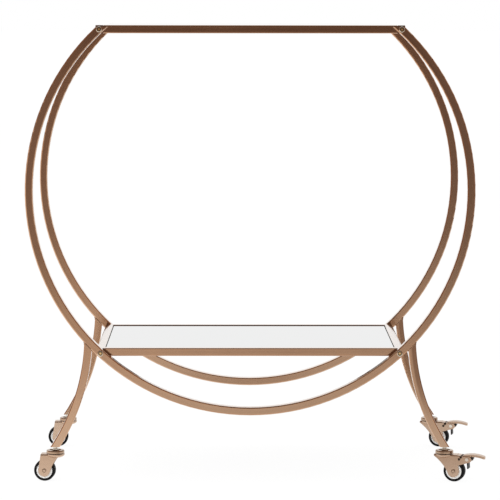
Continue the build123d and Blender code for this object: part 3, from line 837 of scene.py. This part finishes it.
# %% One weld
CORNER_BEAD = (0.0014, 0.0019, 0.0014)
CREVICE_BEAD = (0.0019, 0.0019, 0.0019)
FACE_BEAD = (0.0036, 0.0022, 0.0036)
CORNER_COUNT, CREVICE_COUNT, FACE_COUNT = 15, 13, 16
FACE_END = 0.004
EDGE = 0.0022
SUNK = 0.0021
VOXEL = 0.00035

front_edge, back_edge = leg_low.y + EDGE, leg_high.y - EDGE
across_joint = Vector((outer_x - inner_x, 0, outer_z - inner_z)).normalized() * FACE_END
face_start = Vector((inner_x, 0, inner_z)) + across_joint
face_end = Vector((outer_x, 0, outer_z)) - across_joint
front_face = Vector((0, leg_low.y + SUNK, 0))
back_face = Vector((0, leg_high.y - SUNK, 0))
outer_front, outer_back = (outer_x, front_edge, outer_z), (outer_x, back_edge, outer_z)
inner_front, inner_back = (inner_x, front_edge, inner_z), (inner_x, back_edge, inner_z)
rows = [
    puddle_row(outer_front, outer_back, CORNER_BEAD, CORNER_COUNT),
    puddle_row(inner_front, inner_back, CREVICE_BEAD, CREVICE_COUNT),
    puddle_row(face_start + front_face, face_end + front_face, FACE_BEAD, FACE_COUNT),
    puddle_row(face_start + back_face, face_end + back_face, FACE_BEAD, FACE_COUNT),
]
only(rows[0])
for row in rows[1:]:
    row.select_set(True)
bpy.ops.object.join()
front_right_weld = bpy.context.object
apply_modifier(front_right_weld, "REMESH", mode="VOXEL", voxel_size=VOXEL)
apply_modifier(front_right_weld, "SMOOTH", factor=0.5, iterations=3)
front_right_weld.name = "front_right_weld"
print("weld faces:", len(front_right_weld.data.polygons))

# %% [markdown]
# The other three welds are copies, mirrored about the middle between the hoops. The weld's metal is
# rougher than the tubes' and has no lacquer, so that its edge doesn't glint.

# %% The other three welds
weld_metal = rose_metal("rose_weld", along_y, roughness=0.4, coat=0.0)
settle(front_right_weld, weld_metal, "frame")
to_middle = Matrix.Translation(MIDDLE)
from_middle = to_middle.inverted()
for corner, flips in {"front_left": (-1, 1), "rear_right": (1, -1), "rear_left": (-1, -1)}.items():
    flip = Matrix.Diagonal((*flips, 1, 1))
    weld = placed_copy(front_right_weld, f"{corner}_weld", to_middle @ flip @ from_middle)
    settle(weld, weld_metal, "frame")
print("welds ready")

# %% [markdown]
# ## Race cups
# Under each swivel cap the fork is pressed out into a round cup for the lower balls, wider than the
# fork's two sides, so it bulges from them like half a bowl. The CAD fork has a flat disc there. A bowl
# could be spun from an outline. Here a circle is extruded ring by ring, each ring a little lower and
# narrower, because a list of rings is easy to read and change. A Solidify modifier gives the wall.

# %% One race cup, on the world's axis
# Each ring is a radius and how far it lies below the fork's top.
CUP_RINGS = [
    (0.0173, 0.0021),
    (0.0169, 0.0031),
    (0.0156, 0.0043),
    (0.0133, 0.0057),
    (0.0113, 0.0066),
    (0.0092, 0.0069),
]
CUP_WALL = 0.0008
CUP_BEVEL = 0.0002

fork_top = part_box("front_left_fork")[1][2]
top_radius, top_drop = CUP_RINGS[0]
bpy.ops.object.select_all(action="DESELECT")
bpy.ops.mesh.primitive_circle_add(vertices=64, radius=top_radius, location=(0, 0, fork_top - top_drop))
race_cup = bpy.context.object
edit_all(race_cup)
for (radius_above, drop_above), (radius_here, drop_here) in zip(CUP_RINGS, CUP_RINGS[1:]):
    bpy.ops.mesh.extrude_edges_move(TRANSFORM_OT_translate={"value": (0, 0, drop_above - drop_here)})
    shrink = radius_here / radius_above
    bpy.ops.transform.resize(value=(shrink, shrink, 1), center_override=(0, 0, fork_top - drop_here))
leave_edit(outward=True)
apply_modifier(race_cup, "SOLIDIFY", thickness=CUP_WALL, offset=-1.0)
apply_modifier(race_cup, "BEVEL", width=CUP_BEVEL, segments=2, angle_limit=radians(50))
race_cup.name = "race_cup"
print("race cup faces:", len(race_cup.data.polygons))

# %% [markdown]
# ## Stem threads
# Between the nut and the leg a few turns of the stem's thread show. A thread is one ridge on a helix.
# A curve with a round bevel could make it, but the ridge is sharp, so a small triangle is carried round
# and up by a Screw modifier, and its two ends are filled.

# %% One thread, on the world's axis
STEM_RADIUS = 0.004
PITCH = 0.00125
RIDGE = 0.00055
STEPS_PER_TURN = 28
START_TURN = 0.4
SPARE_TURNS = 0.6

nut_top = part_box("stem_nuts")[1][2]
turns = (leg_low.z - nut_top) / PITCH - SPARE_TURNS
thread_start = (STEM_RADIUS, 0, nut_top + START_TURN * PITCH)
bpy.ops.object.select_all(action="DESELECT")
bpy.ops.mesh.primitive_circle_add(vertices=3, radius=RIDGE, location=thread_start,
                                  rotation=(radians(90), 0, 0))
thread = bpy.context.object
place_into_mesh(thread)
edit_all(thread)
bpy.ops.transform.rotate(value=radians(90), orient_axis="Y", center_override=thread_start)
leave_edit()
steps = round(STEPS_PER_TURN * turns)
apply_modifier(thread, "SCREW", axis="Z", angle=radians(360) * turns, screw_offset=PITCH * turns,
               steps=steps, render_steps=steps, use_merge_vertices=False)
edit_all(thread)
bpy.ops.mesh.select_mode(type="EDGE")
bpy.ops.mesh.select_all(action="DESELECT")
bpy.ops.mesh.select_non_manifold()
bpy.ops.mesh.edge_face_add()
leave_edit(outward=True)
thread.name = "stem_thread"
print("thread turns:", round(turns, 2), "faces:", len(thread.data.polygons))

# %% [markdown]
# ## Axle rivets
# The axles are tubular rivets: the end of the tube is rolled over, so a ring stands on the head with a
# dark hole in the middle. A torus could be the ring, but its hole would be open. A short cylinder is
# the start instead. Its outer face is inset and pushed in to make the hole, and a Bevel modifier rounds
# the rolled edge.

# %% One rivet ring, facing -Y at the origin
RIVET_RADIUS = 0.0034
RIVET_HEIGHT = 0.0009
RIVET_RING = 0.0011
RIVET_HOLE = 0.6 * RIVET_HEIGHT
RIVET_BEVEL = 0.0002

bpy.ops.object.select_all(action="DESELECT")
bpy.ops.mesh.primitive_cylinder_add(vertices=40, radius=RIVET_RADIUS, depth=RIVET_HEIGHT)
rivet_ring = bpy.context.object
edit_end_face(rivet_ring, "z")
bpy.ops.mesh.inset(thickness=RIVET_RING)
bpy.ops.mesh.extrude_region_move(TRANSFORM_OT_translate={"value": (0, 0, -RIVET_HOLE)})
leave_edit()
apply_modifier(rivet_ring, "BEVEL", width=RIVET_BEVEL, segments=3, angle_limit=radians(50))
rivet_ring.rotation_euler = (radians(90), 0, 0)
rivet_ring.name = "rivet_ring"
place_into_mesh(rivet_ring)
print("rivet ring faces:", len(rivet_ring.data.polygons))

# %% [markdown]
# ## Shade in the brake arms
# Behind the pedal's rivet, a black block fills the end of the brake arm and shows past it: painted
# shade for the dark gap there. It turns with the pedal. A cube is the start: its outer end is narrowed
# into a nose, and a Bevel modifier rounds the edges.

# %% One painted shade block for a brake arm, beside the world's axis
CAM_LOW = Vector((0.0478, -0.0074, 0.0417))
CAM_HIGH = Vector((0.0565, 0.0074, 0.0484))
CAM_NOSE = (1, 0.9, 0.72)
CAM_BEVEL = 0.0009

bpy.ops.object.select_all(action="DESELECT")
bpy.ops.mesh.primitive_cube_add(size=1.0, location=(CAM_LOW + CAM_HIGH) / 2, scale=CAM_HIGH - CAM_LOW)
brake_gap_shade = bpy.context.object
place_into_mesh(brake_gap_shade)
edit_end_face(brake_gap_shade, "x")
bpy.ops.transform.resize(value=CAM_NOSE, center_override=(CAM_HIGH.x, 0, CAM_HIGH.z))
leave_edit()
apply_modifier(brake_gap_shade, "BEVEL", width=CAM_BEVEL, segments=3, angle_limit=radians(40))
brake_gap_shade.name = "brake_gap_shade"
print("brake cam faces:", len(brake_gap_shade.data.polygons))

# %% [markdown]
# ## Hole rims
# The fork's plates have two punched holes near the brake. A rolled rim lies in each, coloured dark as
# painted shade for the shadow in the hole.
# A torus is the start, and it is squeezed flat so that it lies in the plate like a grommet.

# %% One hole rim, facing -Y at the origin
RIM_RADIUS = 0.0018
RIM_THICK = 0.0007
RIM_SQUEEZE = (1, 0.6, 1)

bpy.ops.object.select_all(action="DESELECT")
bpy.ops.mesh.primitive_torus_add(major_radius=RIM_RADIUS, minor_radius=RIM_THICK, major_segments=32,
                                 minor_segments=10, rotation=(radians(90), 0, 0))
hole_shade_rim = bpy.context.object
place_into_mesh(hole_shade_rim)
edit_all(hole_shade_rim)
bpy.ops.transform.resize(value=RIM_SQUEEZE, center_override=(0, 0, 0))
leave_edit()
hole_shade_rim.name = "hole_shade_rim"
print("hole rim faces:", len(hole_shade_rim.data.polygons))

# %% [markdown]
# ## Onto the casters
# Cup, thread and rivets go onto all four casters. Each caster is turned its own way, and the record's
# joints say how: a wheel's joint has the axle's direction. Cups and rivets turn with the swivel, while
# the threads stay with the frame.

# %% Copies on the four casters
AXLE_HALF = 0.0127
SIDES = {"near": -1, "far": 1}
# The rivets' dark brown is painted shade, on heads that share the forks' rose tone.
shaded_rivet_metal = steel("shaded_rivet", (0.3, 0.21, 0.15, 1), (0.2, 0.14, 0.1, 1), roughness=0.3)
axle_dirs = {joint["name"]: Vector(joint["axis"]) for joint in frame["record"]["behaviour"]["joints"]}


def onto_stem(corner):
    """Moves a piece from the world's axis to a caster's stem."""
    stem = middle(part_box(f"{corner}_swivel_cap"))
    return Matrix.Translation((stem.x, stem.y, 0))


for corner in corners:
    swivel = f"{corner}_swivel"
    cup = placed_copy(race_cup, f"{corner}_race_cup", onto_stem(corner))
    settle(cup, floor_lit_caster_metal, swivel)
    stem_thread = placed_copy(thread, f"{corner}_stem_thread", onto_stem(corner))
    settle(stem_thread, bright_zinc, "frame")
    axle_middle = middle(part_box(f"{corner}_axle"))
    for side, way in SIDES.items():
        outward = axle_dirs[f"{corner}_wheel_roll"] * way
        facing = outward.to_track_quat("-Y", "Z").to_matrix().to_4x4()
        spot = Matrix.Translation(axle_middle + outward * AXLE_HALF) @ facing
        rivet = placed_copy(rivet_ring, f"{corner}_{side}_rivet", spot)
        settle(rivet, shaded_rivet_metal, swivel)
print("cups, threads and rivets on", len(corners), "casters")

# %% [markdown]
# The shade blocks and hole rims, both painted shade, go onto the two braked casters. The blocks move
# with the pedals and the rims with the forks. The first models were only patterns, so they are removed
# at the end.

# %% Painted shade blocks and hole rims on the braked casters
# Each hole is how far it lies out from the stem, and its height.
HOLES = {"spring": (0.031, 0.0437), "spare": (0.0344, 0.0478)}
PLATE_FACE = 0.0115
UP = Vector((0, 0, 1))
# The rims' dark colour is painted shade for the shadow in the holes.
rim_shade_metal = steel("rim_painted_shade", (0.09, 0.065, 0.05, 1), (0.06, 0.045, 0.035, 1), roughness=0.35)
for corner in braked:
    along_axle = axle_dirs[f"{corner}_wheel_roll"]
    turned = Matrix((along_axle.cross(UP), along_axle, UP)).transposed().to_4x4()
    on_caster = onto_stem(corner) @ turned
    # Each block's black is painted shade for the gap at the end of the brake arm.
    cam = placed_copy(brake_gap_shade, f"{corner}_brake_gap_shade", on_caster)
    settle(cam, shoe_black, f"{corner}_pedal")
    for hole, (out, height) in HOLES.items():
        for side, way in SIDES.items():
            spot = on_caster @ Matrix.Translation((out, way * PLATE_FACE, height))
            rim = placed_copy(hole_shade_rim, f"{corner}_{hole}_{side}_rim", spot)
            settle(rim, rim_shade_metal, f"{corner}_swivel")
for pattern in (race_cup, thread, rivet_ring, brake_gap_shade, hole_shade_rim):
    bpy.data.objects.remove(pattern)
print("cams and rims on", len(braked), "casters")
